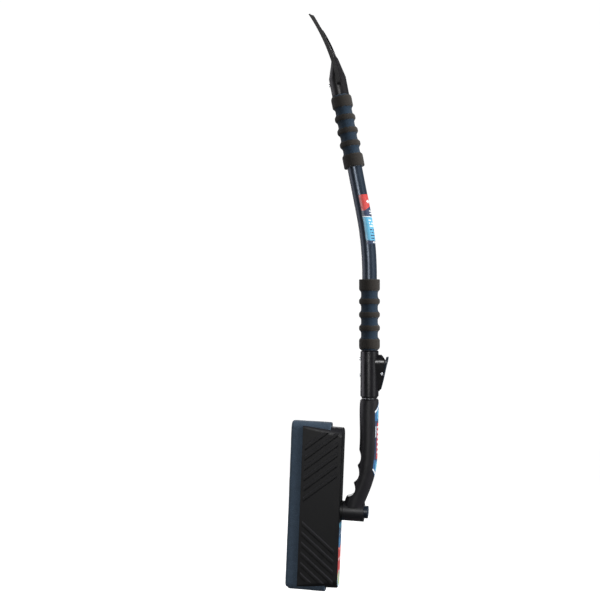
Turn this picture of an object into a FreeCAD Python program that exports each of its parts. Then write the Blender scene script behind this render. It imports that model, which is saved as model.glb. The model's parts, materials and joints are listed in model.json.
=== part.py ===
import FreeCAD, Part
import math
import os

from FreeCAD import Vector

# Telescoping snow pusher with an ice scraper. Millimetres. It is modelled in the handle's frame: Z runs
# up along the lower handle towards the scraper, Y points to the back, and z = 0 is the lower end of the
# clamp housing. export() then moves everything so that the origin is the centre of the hanging hole.

# Tubes (oval: half width along X, half depth along Y)
TUBE_HALF = (16.75, 13.75)
TUBE_WALL = 1.3
INNER_GAP = 1.0  # between the two tubes, so that the inner one can reach into the bend
INNER_WALL = 1.5
BEND_START_Z = 224.0
BEND_RADIUS = 600.0
BEND_DEG = 11.0
TUBE_START_Z = 30.0
TUBE_TOP_S = 257.0  # s is measured along the upper straight stretch, from the end of the bend

# Telescoping
TRAVEL = 203.0
INDEX_STEPS = 6
INDEX_HOLE_Z = 20.5
INDEX_HOLE_R = 4.0
INNER_TOP_Z = 252.0
INNER_BOTTOM_Z = -99.5

# Two-layer foam grips. Grooves run all the way round and lay the core bare.
GRIP_SKIN_HALF = (22.75, 19.25)
GRIP_CORE_HALF = (21.7, 16.9)
GRIP_GROOVE_DEPTH = (1.55, 3.8)
GRIP_GROOVES = 4
GRIP_GROOVE_PITCH = 24.6
GROOVE_FLAT = 3.5  # half length of a groove's floor
GROOVE_REACH = 10.4  # half length of the whole groove
GROOVE_STEPS = 6
SQUARE_END = ((0.0, 1.0), (0.3, 0.35), (1.0, 0.0))  # distance from the end, inset
ROUND_END = ((0.0, 4.0), (0.9, 2.5), (2.4, 1.2), (4.2, 0.35), (6.4, 0.0))
LOWER_GRIP = (86.0, 216.8)
UPPER_GRIP = (87.0, 222.8)
TUBE_LABEL = (281.0, 371.0)

# Scraper blade, in the frame of the upper straight stretch
BLADE_ARC_R = 314.0  # back face, tangent to the tube's axis
BLADE_ARC_S = 250.0
BLADE_THICK = 3.2
BLADE_TIP_S = 368.7
BLADE_TOP_HALF = 60.0
BLADE_NECK_HALF = 24.3
BLADE_NECK_S = 249.0
RIM_WIDTH = 4.0
RIM_DEPTH = 6.8
HANG_HOLE_R = 5.25
HANG_HOLE_S = 352.0
SOCKET_HALF = (19.0, 16.0)
SOCKET_START_S = 223.4
BLADE_SCREW_S = 246.0
TOOTH_COUNT = 7
TOOTH_PITCH = 17.0
TOOTH_BELOW_TIP = (10.4, 3.2)  # where a tooth's foot starts and ends
TOOTH_HALF_WIDTH = 2.4

# Clamp housing, lock lever and pawl
HOUSING_HALF = (20.5, 16.85)
HOUSING_TOP_Z = 85.5
HOUSING_SCREWS_Z = (40.0, 70.0)
LEVER_PIN = (-24.3, 43.4)  # y, z
LEVER_PIN_R = 2.3
HOOD_WALL = 2.4
LEVER_GAP = 0.5
LEVER_SPRING_Z = 61.0
PAWL_R = (24.7, 28.7)
PAWL_TIP_DEG = 35.2
PAWL_ROOT_DEG = 4.0
PAWL_HALF_WIDTH = 2.5

# Arm
ARM_TOP_Z = -3.5
ARM_HALF_WIDTH = 18.4
ARM_WALL = 3.2
ARM_SCREWS_Z = (-30.0, -75.0)
ARM_SCREW_SEAT_Y = 15.0
ARM_STATIONS = (  # z, y of the front edge, y of the back edge
    (-6.0, -16.9, 17.0),
    (-52.0, -16.0, 17.9),
    (-97.0, -15.0, 18.8),
    (-126.0, -12.9, 21.8),
    (-158.0, -6.0, 29.0),
    (-183.0, 3.3, 41.8),
    (-203.0, 11.5, 47.0),
)
ARM_FINGER_NOTCHES = ((35.5, -109.9, 21.1), (39.4, -138.9, 21.8), (39.6, -168.4, 14.8))  # y, z, radius

# Pivot, in its own frame: y runs along the pivot axis from the barrel's front face to the back
PIVOT = (10.0, -213.0)  # y, z
PIVOT_TILT_DEG = 2.3
BARREL_R = 18.0
BARREL_LENGTH = 38.0
BUTTON_R = 11.6
BUTTON_TRAVEL = 5.2
BUTTON_PROUD = 7.6
PIVOT_BORE_R = 15.0
SHOULDER_Y = 16.0
SPLINES = 24
SPLINE_ROOT_R = 10.7
SPLINE_TIP_R = 12.2
SPLINE_PLAY = 0.12
GEAR_LENGTH = 12.0
RING_LENGTH = 5.0
HUB_START_Y = 22.0
SPRING_SOLID_LENGTH = 2.8
HUB_FLOOR_Y = SHOULDER_Y + GEAR_LENGTH + BUTTON_TRAVEL + SPRING_SOLID_LENGTH
HUB_FLANGE_Y = 38.2
RETAINER_Y = 30.0
RUNNING_GAP = 0.05

# Head: a foam blade held between the cheeks of a two-part shell
HEAD_FRONT_Y = 43.0
HEAD_BACK_Y = 117.5
HEAD_HALF_WIDTH = 18.25
HEAD_HALF_LENGTH = 149.0
HEAD_CENTRE_Z = 5.0
SPINE_DEPTH = 23.0
SHELL_WALL = 2.9
SHELL_BEVEL = 1.6
FOAM_BACK_Y = 140.5
FOAM_HALF_LENGTH = 157.0
FOAM_END_R = 12.0
RIDGE_DEG = 39.0
RIDGE_PITCH = 19.0
RIDGE_COUNT = 6
RIDGE_HEIGHT = 1.2
RIDGE_HALF_WIDTHS = (4.2, 2.0)  # at the cheek, at the crest
RIDGE_MIRROR_Z = -9.0
RIDGE_FIRST_Z = 22.0  # the back end of the first rib, from the mirror plane
SHELL_SCREWS_Z = (-125.0, -62.0, 62.0, 125.0)

LABEL_THICK = 0.25
X, Y, Z = Vector(1, 0, 0), Vector(0, 1, 0), Vector(0, 0, 1)
ZERO = Vector(0, 0, 0)


# Basic solids
def ellipse(half_x, half_y, y, z):
    centre = Vector(0, y, z)
    on_x, on_y = centre + Vector(half_x, 0, 0), centre + Vector(0, half_y, 0)
    ends = (on_x, on_y) if half_x >= half_y else (on_y, on_x)
    return Part.Wire(Part.Ellipse(*ends, centre).toShape())


def oval(half, z0, z1, grow=0.0):
    face = Part.Face(ellipse(half[0] + grow, half[1] + grow, 0, z0))
    return face.extrude(Vector(0, 0, z1 - z0))


def oval_tube(outer, inner, z0, z1):
    return oval(outer, z0, z1).cut(oval(inner, z0 - 1, z1 + 1))


def box(x0, x1, y0, y1, z0, z1):
    return Part.makeBox(x1 - x0, y1 - y0, z1 - z0, Vector(x0, y0, z0))


def rod(radius, start, end):
    return Part.makeCylinder(radius, (end - start).Length, start, end - start)


def rod_x(radius, y, z, half_length):
    return rod(radius, Vector(-half_length, y, z), Vector(half_length, y, z))


def rod_y(radius, y0, y1, x=0.0, z=0.0):
    return rod(radius, Vector(x, y0, z), Vector(x, y1, z))


def prism_yz(points, half_width):
    """A side profile, as (y, z) points, extruded across the width."""
    wire = Part.makePolygon([Vector(-half_width, y, z) for y, z in points + points[:1]])
    return Part.Face(wire).extrude(Vector(2 * half_width, 0, 0))


def rounded_rectangle(half_x, half_z, radius, y):
    """A wire of four lines and four arcs in the plane at y."""
    inner_x, inner_z = half_x - radius, half_z - radius
    edges = []
    for sx, sz, start in ((1, 1, 0), (-1, 1, 90), (-1, -1, 180), (1, -1, 270)):
        centre = Vector(sx * inner_x, y, sz * inner_z)
        angles = [math.radians(start + turn) for turn in (0, 45, 90)]
        arc = [centre + Vector(radius * math.cos(a), 0, radius * math.sin(a)) for a in angles]
        edges.append(arc)
    shapes = []
    for corner, following in zip(edges, edges[1:] + edges[:1]):
        shapes.append(Part.Arc(*corner).toShape())
        shapes.append(Part.LineSegment(corner[-1], following[0]).toShape())
    return Part.Wire(shapes)


def fuse(first, *others):
    return first.multiFuse(list(others)).removeSplitter()


def bevelled_cylinder(radius, y0, y1, bevel):
    body = rod_y(radius, y0, y1)
    end = [e for e in body.Edges if abs(e.BoundBox.YMax - y0) < 1e-6 and e.BoundBox.YLength < 1e-6]
    return body.makeFillet(bevel, end)


def screw_y(head_r, shank_r, head_y, end_y, depth, x=0.0, z=0.0):
    """A pan screw along Y, with its head at head_y and its point at end_y, and a cross recess."""
    way = 1 if end_y > head_y else -1
    head = rod_y(head_r, head_y, head_y + way * depth, x, z)
    shank = rod_y(shank_r, head_y, end_y, x, z)
    slots = [
        box(x - a, x + a, min(head_y, head_y + way * 1.0), max(head_y, head_y + way * 1.0), z - b, z + b)
        for a, b in ((0.45, head_r * 0.6), (head_r * 0.6, 0.45))
    ]
    return fuse(head, shank).cut(slots[0]).cut(slots[1])


def coil(mean_r, wire_r, length, turns):
    """A compression spring that stands on z = 0, as half turns that lean up by turns to each side."""
    step = (length - 2 * wire_r) / (2 * turns)
    lean = math.degrees(math.asin(step / 2 / mean_r))
    section = Part.Face(Part.Wire(Part.Circle(Vector(mean_r, 0, 0), Y, wire_r).toShape()))
    half_turns = []
    for n in range(2 * turns):
        half = section.revolve(ZERO, Z, 180)
        half.rotate(ZERO, Z, 180 * (n % 2))
        half.rotate(ZERO, Y, lean if n % 2 == 0 else -lean)
        half.translate(Vector(0, 0, wire_r + step * (n + 0.5)))
        half_turns.append(half)
    return fuse(*half_turns)


# Frames
def bend_end():
    turn = math.radians(BEND_DEG)
    return Vector(0, BEND_RADIUS * (1 - math.cos(turn)), BEND_START_Z + BEND_RADIUS * math.sin(turn))


def on_upper(shape):
    """Moves a shape from the frame of the upper straight stretch to the handle's frame."""
    shape = shape.copy()
    shape.rotate(ZERO, X, -BEND_DEG)
    shape.translate(bend_end())
    return shape


def on_pivot(shape):
    shape = shape.copy()
    shape.rotate(ZERO, X, PIVOT_TILT_DEG)
    shape.translate(Vector(0, *PIVOT))
    return shape


# Tubes
def bent_bar(half, z0, top_s):
    """A solid bar of oval section: straight, bent back, then straight again."""
    lower = oval(half, z0, BEND_START_Z)
    section = Part.Face(ellipse(*half, 0, BEND_START_Z))
    bend = section.revolve(Vector(0, BEND_RADIUS, BEND_START_Z), X, -BEND_DEG)
    upper = on_upper(oval(half, 0, top_s))
    return fuse(lower, bend, upper)


def tube_bore():
    return tuple(half - TUBE_WALL for half in TUBE_HALF)


def inner_half():
    return tuple(half - INNER_GAP for half in tube_bore())


def outer_tube():
    bore = bent_bar(tube_bore(), TUBE_START_Z - 1, TUBE_TOP_S + 1)
    tube = bent_bar(TUBE_HALF, TUBE_START_Z, TUBE_TOP_S).cut(bore)
    tube = tube.cut(housing_screw_holes())
    return tube.cut(on_upper(rod_y(1.6, 0, 30, 0, BLADE_SCREW_S)))


def index_holes():
    pitch = TRAVEL / INDEX_STEPS
    return [rod_y(INDEX_HOLE_R, -20, 0, 0, INDEX_HOLE_Z + n * pitch) for n in range(INDEX_STEPS + 1)]


def inner_tube():
    half = inner_half()
    bore = tuple(value - INNER_WALL for value in half)
    tube = oval_tube(half, bore, INNER_BOTTOM_Z, INNER_TOP_Z - 2.0)
    for hole in index_holes() + [rod_y(2.0, 0, 20, 0, z) for z in ARM_SCREWS_Z]:
        tube = tube.cut(hole)
    return tube


def tube_glide():
    """The plug in the top of the inner tube."""
    half = inner_half()
    bore = tuple(value - INNER_WALL for value in half)
    cap = oval(half, INNER_TOP_Z - 2.0, INNER_TOP_Z)
    skirt = oval_tube(bore, tuple(value - 1.8 for value in bore), INNER_TOP_Z - 16.0, INNER_TOP_Z - 2.0)
    pin_hole = Part.makeCylinder(1.5, 10, Vector(0, 0, INNER_TOP_Z - 5), Z)
    return fuse(cap, skirt).cut(pin_hole)


# Grips
def grip_sections(z0, z1, round_top):
    """(z, inset, share of the groove's depth) along a grip, from z0 to z1."""
    low, high = (SQUARE_END, ROUND_END) if round_top else (ROUND_END, SQUARE_END)
    sections = [(z0 + distance, inset, 0.0) for distance, inset in low]
    first = (z0 + z1) / 2 - GRIP_GROOVE_PITCH * (GRIP_GROOVES - 1) / 2
    slope = [GROOVE_FLAT + (GROOVE_REACH - GROOVE_FLAT) * n / GROOVE_STEPS for n in range(GROOVE_STEPS + 1)]
    for groove in range(GRIP_GROOVES):
        centre = first + groove * GRIP_GROOVE_PITCH
        for offset in [-distance for distance in reversed(slope)] + slope:
            part = (abs(offset) - GROOVE_FLAT) / (GROOVE_REACH - GROOVE_FLAT)
            sections.append((centre + offset, 0.0, 0.5 + 0.5 * math.cos(math.pi * part)))
    return sections + [(z1 - distance, inset, 0.0) for distance, inset in reversed(high)]


def grip_body(z0, z1, round_top):
    """The whole grip's outer shape, as a solid bar."""
    wires = []
    for z, inset, share in grip_sections(z0, z1, round_top):
        half = [skin - inset - share * depth for skin, depth in zip(GRIP_SKIN_HALF, GRIP_GROOVE_DEPTH)]
        wires.append(ellipse(*half, 0, z))
    return Part.makeLoft(wires, True, True)


def grip_core(span, round_top):
    bar = oval_tube(GRIP_CORE_HALF, TUBE_HALF, span[0] - 1, span[1] + 1)
    return grip_body(*span, round_top).common(bar)


def grip_skin(span, round_top):
    """What the grooves and the rounded end leave of the outer layer."""
    return grip_body(*span, round_top).cut(oval(GRIP_CORE_HALF, span[0] - 1, span[1] + 1))


# Scraper blade
def blade_y(s, offset=0.0):
    """y of the blade's back face at s, or of a face that lies offset in front of it."""
    radius = BLADE_ARC_R + offset
    return BLADE_ARC_R - math.sqrt(radius**2 - (s - BLADE_ARC_S) ** 2)


def blade_shell(front, back, s0=BLADE_NECK_S - 20):
    """The part of the blade's curved plate between two distances in front of its back face."""
    centre = Vector(-80, BLADE_ARC_R, BLADE_ARC_S)
    outer = Part.makeCylinder(BLADE_ARC_R + front, 160, centre, X)
    inner = Part.makeCylinder(BLADE_ARC_R + back, 160, centre, X)
    window = box(-70, 70, -20, 60, s0, BLADE_TIP_S)
    return outer.cut(inner).common(window)


def blade_outline(inset, top_s, bottom_s, rounding):
    """A prism through the blade: a trapezoid with a rounded narrow end."""
    slope = (BLADE_TOP_HALF - BLADE_NECK_HALF) / (BLADE_TIP_S - BLADE_NECK_S)
    side = inset * math.sqrt(1 + slope**2)
    halves = [BLADE_NECK_HALF + slope * (s - BLADE_NECK_S) - side for s in (bottom_s, top_s)]
    points = [
        Vector(-halves[0], -30, bottom_s),
        Vector(halves[0], -30, bottom_s),
        Vector(halves[1], -30, top_s),
        Vector(-halves[1], -30, top_s),
    ]
    prism = Part.Face(Part.makePolygon(points + points[:1])).extrude(Vector(0, 90, 0))
    low = [e for e in prism.Edges if e.BoundBox.YLength > 80 and e.BoundBox.ZMax < bottom_s + 1]
    return prism.makeFillet(rounding, low)


def socket():
    """A tapering socket that flattens from the tube's oval into the plate."""
    sections = (
        (SOCKET_START_S, SOCKET_HALF[0], SOCKET_HALF[1], 0.0),
        (256.0, SOCKET_HALF[0], SOCKET_HALF[1], 0.0),
        (292.0, 16.0, 6.0, -2.2),
        (317.0, 7.0, 2.0, 5.6),
    )
    wires = [ellipse(half_x, half_y, y, s) for s, half_x, half_y, y in sections]
    return Part.makeLoft(wires, True, True)


def tooth(x):
    """One ice-breaking tooth on the front face, just below the scraping edge."""
    low, high = [BLADE_TIP_S - below for below in TOOTH_BELOW_TIP]
    profile = [
        (blade_y(low, BLADE_THICK) + 1.0, low),
        (blade_y(high, BLADE_THICK) + 1.0, high),
        (blade_y(high, BLADE_THICK) - 3.6, high - 1.6),
        (blade_y(low, BLADE_THICK) - 2.4, low + 1.8),
    ]
    block = prism_yz(profile, TOOTH_HALF_WIDTH)
    block.translate(Vector(x, 0, 0))
    return block


def hang_hole_centre():
    """The centre of the hole in mid plate, and the direction out of the front face."""
    turn = math.asin((HANG_HOLE_S - BLADE_ARC_S) / BLADE_ARC_R)
    normal = Vector(0, -math.cos(turn), math.sin(turn))
    centre = Vector(0, BLADE_ARC_R, BLADE_ARC_S) + normal * (BLADE_ARC_R + BLADE_THICK / 2)
    return centre, normal


def scraper_blade():
    outline = blade_outline(0, BLADE_TIP_S, BLADE_NECK_S - 10, 8)
    opening = blade_outline(RIM_WIDTH, BLADE_TIP_S + 5, BLADE_NECK_S - 4, 5)
    plate = blade_shell(BLADE_THICK, 0).common(outline)
    rims = blade_shell(RIM_DEPTH, BLADE_THICK - 0.4, BLADE_NECK_S - 20).common(outline).cut(opening)
    over_tip = BLADE_TIP_S + 0.1
    bevel_side = [(blade_y(BLADE_TIP_S) - 1.0, over_tip), (-20, over_tip), (-20, BLADE_TIP_S - 24)]
    tip_bevel = prism_yz(bevel_side, BLADE_TOP_HALF + 10)
    teeth = [tooth((n - (TOOTH_COUNT - 1) / 2) * TOOTH_PITCH) for n in range(TOOTH_COUNT)]
    blade = fuse(plate, rims.cut(tip_bevel), socket(), *teeth)
    blade = blade.cut(oval(TUBE_HALF, SOCKET_START_S - 1, TUBE_TOP_S))
    centre, normal = hang_hole_centre()
    blade = blade.cut(rod(HANG_HOLE_R, centre - normal * 20, centre + normal * 20))
    blade = blade.cut(rod_y(1.6, 0, 30, 0, BLADE_SCREW_S))
    return on_upper(blade)


def blade_label():
    """The printed label that lies on the plate between its rims, above the socket."""
    outline = blade_outline(RIM_WIDTH + 6.0, BLADE_TIP_S - 30, BLADE_NECK_S + 42, 3)
    label = blade_shell(BLADE_THICK + LABEL_THICK, BLADE_THICK).common(outline)
    centre, normal = hang_hole_centre()
    label = label.cut(rod(HANG_HOLE_R + 3.5, centre - normal * 20, centre + normal * 20))
    return on_upper(label.cut(socket()))


def blade_screw():
    return on_upper(screw_y(3.2, 1.6, SOCKET_HALF[1] + 1.2, 12.6, 1.2, 0, BLADE_SCREW_S))


# Clamp housing and its lock
def hood_outline(inset, y0, y1):
    """The arch around the lever: a half circle over two sides that draw in to a rounded lower end."""
    top_r, top_z, low_r, low_z = 14.8 - inset, 63.5, 7.6 - inset, 18.0
    lean = math.asin((top_r - low_r) / (top_z - low_z))
    side = Vector(math.cos(lean), 0, -math.sin(lean))
    top, low = Vector(0, y0, top_z), Vector(0, y0, low_z)
    right = [top + side * top_r, low + side * low_r]
    left = [Vector(-p.x, p.y, p.z) for p in right]
    edges = [
        Part.Arc(right[0], top + Z * top_r, left[0]).toShape(),
        Part.LineSegment(left[0], left[1]).toShape(),
        Part.Arc(left[1], low - Z * low_r, right[1]).toShape(),
        Part.LineSegment(right[1], right[0]).toShape(),
    ]
    return Part.Face(Part.Wire(edges)).extrude(Vector(0, y1 - y0, 0))


def pawl_window():
    return box(-3.0, 3.0, -25, -5, 14.8, 24.6)


def clamp_housing():
    body = oval(HOUSING_HALF, 0, HOUSING_TOP_Z)
    ends = [e for e in body.Edges if e.BoundBox.ZLength < 1e-6]
    body = body.makeChamfer(1.6, ends)
    hood_side = [
        (-10, 80), (-20.9, 79.5), (-28.9, 66), (-27.2, 46), (-24.6, 33), (-21.5, 19), (-18.2, 10), (-10, 10)
    ]
    hood = hood_outline(0, -40, -8).common(prism_yz(hood_side, 20))
    recess = hood_outline(HOOD_WALL, -40, -HOUSING_HALF[1] + 0.9)
    housing = fuse(body, hood).cut(recess)
    housing = housing.cut(oval(TUBE_HALF, -1, HOUSING_TOP_Z + 1))
    spring_seat = rod_y(3.8, -20, -14.9, 0, LEVER_SPRING_Z)
    for cutter in (pawl_window(), spring_seat, rod_x(LEVER_PIN_R, *LEVER_PIN, 30), housing_screw_holes()):
        housing = housing.cut(cutter)
    return housing


def housing_screw_holes():
    return Part.makeCompound([rod_y(1.6, 10, 30, 0, z) for z in HOUSING_SCREWS_Z])


def housing_screws():
    back = HOUSING_HALF[1]
    return Part.makeCompound([screw_y(3.0, 1.6, back + 1.3, 12.3, 1.25, 0, z) for z in HOUSING_SCREWS_Z])


def guide_bush():
    bore = tuple(value + 0.1 for value in inner_half())
    flange_half = (HOUSING_HALF[0] - 2.2, HOUSING_HALF[1] - 2.2)
    bush = fuse(oval(TUBE_HALF, 0, TUBE_START_Z), oval(flange_half, -2.0, 0))
    return bush.cut(oval(bore, -3, TUBE_START_Z + 1)).cut(pawl_window())


def lever_pin():
    half_length = 12.6
    pin = rod_x(LEVER_PIN_R, *LEVER_PIN, half_length)
    dimples = [
        Part.makeSphere(1.3, Vector(side * (half_length + 0.6), *LEVER_PIN)) for side in (-1, 1)
    ]
    return pin.cut(dimples[0]).cut(dimples[1])


def lock_lever():
    """A rocker: a thumb tab above the pin, a leg that carries the pawl below it."""
    side = [
        (-35.2, 74.2), (-33.6, 66), (-31.0, 56), (-28.9, 46), (-26.4, 33), (-22.8, 18.5), (-21.0, 13.5),
        (-18.6, 13.5), (-18.6, 20), (-21.2, 34), (-20.2, 40), (-20.4, 46), (-24.0, 51), (-27.6, 58),
        (-30.0, 65), (-32.0, 74.2),
    ]
    lever = hood_outline(HOOD_WALL + LEVER_GAP, -45, -10).common(prism_yz(side, 20))
    lever = lever.cut(rod_x(LEVER_PIN_R + RUNNING_GAP, *LEVER_PIN, 30))
    return lever.cut(pawl_sector()).cut(rod_y(1.2, -30, -22.0, 0, 24))


def pawl_sector():
    """A hook that follows a circle about the lever's pin, so that it leaves its hole along itself."""
    y, z = LEVER_PIN
    start = Vector(-PAWL_HALF_WIDTH, y, z)
    rings = [Part.makeCylinder(r, 2 * PAWL_HALF_WIDTH, start, X) for r in PAWL_R]
    ring = rings[1].cut(rings[0])
    reach = 60.0
    angles = [math.radians(a) for a in (PAWL_ROOT_DEG, PAWL_TIP_DEG)]
    wedge = [(y, z)] + [(y + reach * math.sin(a), z - reach * math.cos(a)) for a in angles]
    return ring.common(prism_yz(wedge, 10))


def lever_spring():
    spring = coil(2.7, 0.4, 9.6, 5)
    spring.rotate(ZERO, X, 90)
    spring.translate(Vector(0, -15.0, LEVER_SPRING_Z))
    return spring


# Arm
def arm_loft(grow=0.0):
    wires = []
    for z, front, back in ARM_STATIONS:
        half_y = (back - front) / 2 + grow
        wires.append(ellipse(ARM_HALF_WIDTH + grow, half_y, (front + back) / 2, z))
    return Part.makeLoft(wires, True, False)


def barrel(grow=0.0):
    return on_pivot(rod_y(BARREL_R + grow, -grow, BARREL_LENGTH))


def arm_cavity():
    """The hollow below the inner tube, which keeps the arm's wall even."""
    low_z, high_z = -186.0, INNER_BOTTOM_Z - 3.5
    cavity = arm_loft(-ARM_WALL).common(box(-30, 30, -30, 60, low_z, high_z))
    for y, z, radius in ARM_FINGER_NOTCHES:
        cavity = cavity.cut(rod_x(radius + ARM_WALL, y, z, 30))
    way_in = oval(tuple(half - INNER_WALL for half in inner_half()), high_z - 1, INNER_BOTTOM_Z + 1)
    return fuse(cavity, way_in)


def arm():
    z, front, back = ARM_STATIONS[0]
    top = [
        ellipse(ARM_HALF_WIDTH - inset, (back - front) / 2 - inset, (front + back) / 2, height)
        for inset, height in ((2.2, ARM_TOP_Z), (0.0, z))
    ]
    body = fuse(arm_loft(), Part.makeLoft(top, True, True))
    for y, notch_z, radius in ARM_FINGER_NOTCHES:
        body = body.cut(rod_x(radius, y, notch_z, 30))
    body = fuse(body, barrel())
    body = body.cut(oval(inner_half(), INNER_BOTTOM_Z, 0)).cut(arm_cavity())
    cavity = fuse(
        rod_y(BUTTON_R + 0.1, -30, SHOULDER_Y),
        rod_y(PIVOT_BORE_R, SHOULDER_Y, BARREL_LENGTH + 20),
        rod_y(PIVOT_BORE_R + 1.0, RETAINER_Y - RUNNING_GAP, RETAINER_Y + 1.2 + RUNNING_GAP),
    )
    body = body.cut(on_pivot(cavity))
    for height in ARM_SCREWS_Z:
        body = body.cut(rod_y(2.0, 8, 40, 0, height)).cut(rod_y(3.6, ARM_SCREW_SEAT_Y, 40, 0, height))
    return body


def arm_screws():
    screws = [screw_y(3.5, 2.0, ARM_SCREW_SEAT_Y + 1.8, 9.0, 1.8, 0, z) for z in ARM_SCREWS_Z]
    return Part.makeCompound(screws)


def arm_label():
    """A badge with pointed ends on the front of the arm."""
    low, high, half = -150.0, -9.0, 13.0
    centre = (low + high) / 2
    points = [(0, high), (half, high - 16), (half - 1.5, centre), (half, low + 16), (0, low)]
    outline = [Vector(x, -40, z) for x, z in points] + [Vector(-x, -40, z) for x, z in points[-2:0:-1]]
    prism = Part.Face(Part.makePolygon(outline + outline[:1])).extrude(Vector(0, 45, 0))
    return arm_loft(LABEL_THICK).cut(arm_loft()).common(prism)


def tube_label():
    """A label wrapped around the front half of the outer tube, over the bend between the grips."""
    low, high = TUBE_LABEL
    grown = tuple(half + LABEL_THICK for half in TUBE_HALF)
    outer, inner = [Part.Face(ellipse(*half, 0, BEND_START_Z)) for half in (grown, TUBE_HALF)]
    keep = Part.makePlane(60, 40, Vector(-30, -39, BEND_START_Z), Z)
    section = outer.cut(inner).common(keep)
    centre = Vector(0, BEND_RADIUS, BEND_START_Z)
    start = math.degrees(math.asin((low - BEND_START_Z) / BEND_RADIUS))
    upper = section.copy()
    upper.translate(Vector(0, 0, -BEND_START_Z))
    length = (high - bend_end().z) / math.cos(math.radians(BEND_DEG))
    section.rotate(centre, X, -start)
    return fuse(section.revolve(centre, X, start - BEND_DEG), on_upper(upper.extrude(Z * length)))


# Pivot
def spline_profile(play, y0, y1):
    """The splined outline, grown by play for the internal splines, from y0 to y1."""
    points = []
    for n in range(SPLINES):
        middle = 360.0 * n / SPLINES
        for radius, offset in (
            (SPLINE_ROOT_R, -4.4), (SPLINE_TIP_R, -2.6), (SPLINE_TIP_R, 2.6), (SPLINE_ROOT_R, 4.4)
        ):
            spread = math.copysign(math.degrees(play / radius), offset)
            angle = math.radians(middle + offset + spread)
            grown = radius + play
            points.append(Vector(grown * math.cos(angle), y0, grown * math.sin(angle)))
    return Part.Face(Part.makePolygon(points + points[:1])).extrude(Vector(0, y1 - y0, 0))


def spline_ring():
    ring = rod_y(PIVOT_BORE_R, SHOULDER_Y, SHOULDER_Y + RING_LENGTH)
    return on_pivot(ring.cut(spline_profile(SPLINE_PLAY, SHOULDER_Y - 1, SHOULDER_Y + RING_LENGTH + 1)))


def gear_start():
    return SHOULDER_Y + RUNNING_GAP


def push_button():
    cap = bevelled_cylinder(BUTTON_R, -BUTTON_PROUD, 8.0, 1.2)
    dish = Part.makeSphere(60, Vector(0, -BUTTON_PROUD - 60 + 0.7, 0)).common(rod_y(9.0, -20, 0))
    stem = rod_y(5.0, 8.0, gear_start())
    hollow = rod_y(9.6, 1.0, 8.1).cut(rod_y(5.0, 0, 9))
    return on_pivot(fuse(cap, stem).cut(dish).cut(hollow).cut(rod_y(1.5, 4.0, 20)))


def lock_gear():
    gear = spline_profile(0, gear_start(), gear_start() + GEAR_LENGTH)
    recess = rod_y(4.2, gear_start() + GEAR_LENGTH - 4, gear_start() + GEAR_LENGTH + 1)
    return on_pivot(gear.cut(rod_y(1.5, 0, 40)).cut(recess))


def button_screw():
    return on_pivot(screw_y(3.8, 1.5, gear_start() + GEAR_LENGTH - 1.2, 5.0, 2.8))


def button_spring():
    spring = coil(7.2, 0.5, HUB_FLOOR_Y - gear_start() - GEAR_LENGTH - 0.2, 3)
    spring.rotate(ZERO, X, -90)
    spring.translate(Vector(0, gear_start() + GEAR_LENGTH + 0.1, 0))
    return on_pivot(spring)


def hub_screw_places():
    return [(8.6 * sx, 8.6 * sz) for sx in (-1, 1) for sz in (-1, 1)]


def pivot_hub():
    """A splined sleeve that turns in the arm's barrel, with a flange that carries the head."""
    sleeve = rod_y(PIVOT_BORE_R - RUNNING_GAP, HUB_START_Y, HUB_FLANGE_Y)
    flange = rod_y(BARREL_R + 0.2, HUB_FLANGE_Y, HEAD_FRONT_Y)
    hub = fuse(sleeve, flange).cut(spline_profile(SPLINE_PLAY, HUB_START_Y - 1, HUB_FLOOR_Y))
    groove = rod_y(20, RETAINER_Y, RETAINER_Y + 1.2).cut(rod_y(13.9, RETAINER_Y - 1, RETAINER_Y + 3))
    hub = hub.cut(groove)
    for x, z in hub_screw_places():
        hub = hub.cut(rod_y(1.5, HUB_FLANGE_Y + 0.5, HEAD_FRONT_Y + 1, x, z))
    return on_pivot(hub)


def retaining_ring():
    ring = rod_y(PIVOT_BORE_R + 0.9, RETAINER_Y, RETAINER_Y + 1.2)
    ring = ring.cut(rod_y(13.9, RETAINER_Y - 1, RETAINER_Y + 3))
    return on_pivot(ring.cut(box(-2.5, 2.5, RETAINER_Y - 1, RETAINER_Y + 3, -20, 0)))


def hub_screws():
    seat = HEAD_FRONT_Y + SHELL_WALL
    screws = [screw_y(2.9, 1.5, seat + 2.2, HUB_FLANGE_Y + 0.6, 2.2, x, z) for x, z in hub_screw_places()]
    return on_pivot(Part.makeCompound(screws))


# Head
def spine_back():
    return HEAD_FRONT_Y + SPINE_DEPTH


def ridges(side):
    """Broad diagonal ribs on one cheek, rising to the front above the mirror plane and falling below it."""
    low_y, high_y = HEAD_FRONT_Y + 8, HEAD_BACK_Y - 5
    length = (high_y - low_y) / math.cos(math.radians(RIDGE_DEG)) + 20
    rise = (high_y - low_y) * math.tan(math.radians(RIDGE_DEG))
    end_z = HEAD_HALF_LENGTH - 10
    base, crest = RIDGE_HALF_WIDTHS
    inside, outside = side * (HEAD_HALF_WIDTH - 0.4), side * (HEAD_HALF_WIDTH + RIDGE_HEIGHT)
    outline = [Vector(x, -length / 2, z) for x, z in (
        (inside, -base), (outside, -crest), (outside, crest), (inside, base)
    )]
    bar = Part.Face(Part.makePolygon(outline + outline[:1])).extrude(Y * length)
    window = box(-30, 30, low_y, high_y, -end_z, end_z)
    bars = []
    for half in (1, -1):
        for n in range(RIDGE_COUNT):
            rib = bar.copy()
            rib.rotate(ZERO, X, -RIDGE_DEG * half)
            middle_z = RIDGE_MIRROR_Z + half * (RIDGE_FIRST_Z + rise / 2 + n * RIDGE_PITCH)
            rib.translate(Vector(0, (low_y + high_y) / 2, middle_z))
            bars.append(rib.common(window))
    return bars


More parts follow.
